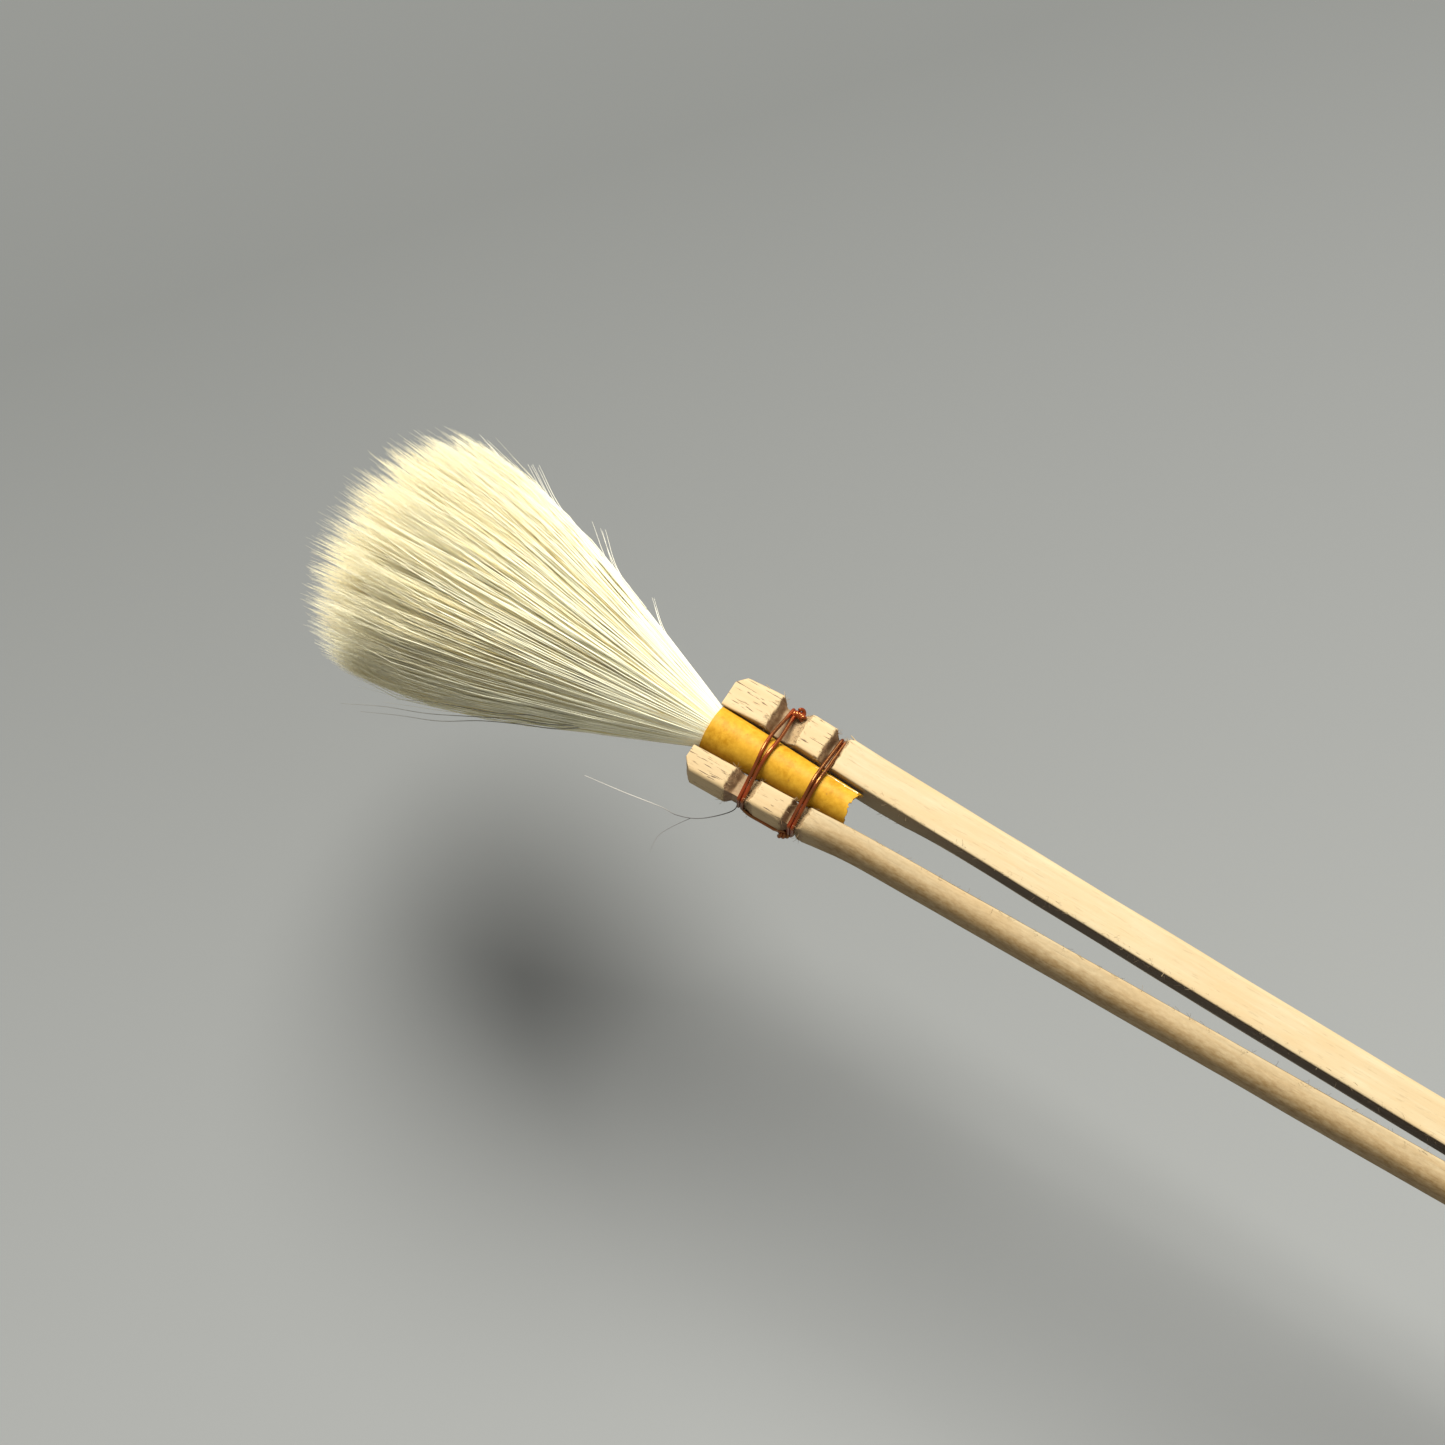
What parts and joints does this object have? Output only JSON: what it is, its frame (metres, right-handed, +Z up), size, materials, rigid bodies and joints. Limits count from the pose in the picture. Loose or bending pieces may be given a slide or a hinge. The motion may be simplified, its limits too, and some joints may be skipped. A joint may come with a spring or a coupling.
{
  "type": "calligraphy brush",
  "caption": "Flared goat-hair tuft in a rolled paper sleeve, gripped by the notched fork of a split wooden stick and bound with enamelled wire ties.",
  "frame": {"origin": "middle of the stick's rear end face across the split, level with the axis of the paper sleeve", "axes": "+X along the stick towards the hair tips, fork flat in the XY plane, +Z up"},
  "size_m": [0.258, 0.0348, 0.0348],
  "materials": {
    "raw_wood": "raw, unvarnished, fine grain with fuzzy edges",
    "varnished_paper": "varnished kraft paper, satin",
    "clear_glue": "dried glue, glossy",
    "goat_hair": "fine goat hair, soft sheen",
    "binding_thread": "waxed thread",
    "root_resin": "hardened resin",
    "enamelled_wire": "copper wire with red-brown enamel, glossy"
  },
  "bodies": {
    "handle": {"split_handle": "raw_wood", "paper_sleeve": "varnished_paper", "seam_glue": "clear_glue", "hair_root": "goat_hair", "root_thread": "binding_thread", "root_plug": "root_resin", "front_tie": "enamelled_wire", "rear_tie": "enamelled_wire"},
    "tuft": {"tuft_core": "goat_hair", "tuft_cover": "goat_hair"}
  },
  "joints": [
    {"name": "tuft_bend", "type": "hinge", "parent": "handle", "child": "tuft", "pos_m": [0.2056, 0, 0], "axis": [0, 1, 0], "range_deg": [-40, 40], "stiffness_Nm_per_rad": 0.06}
  ]
}
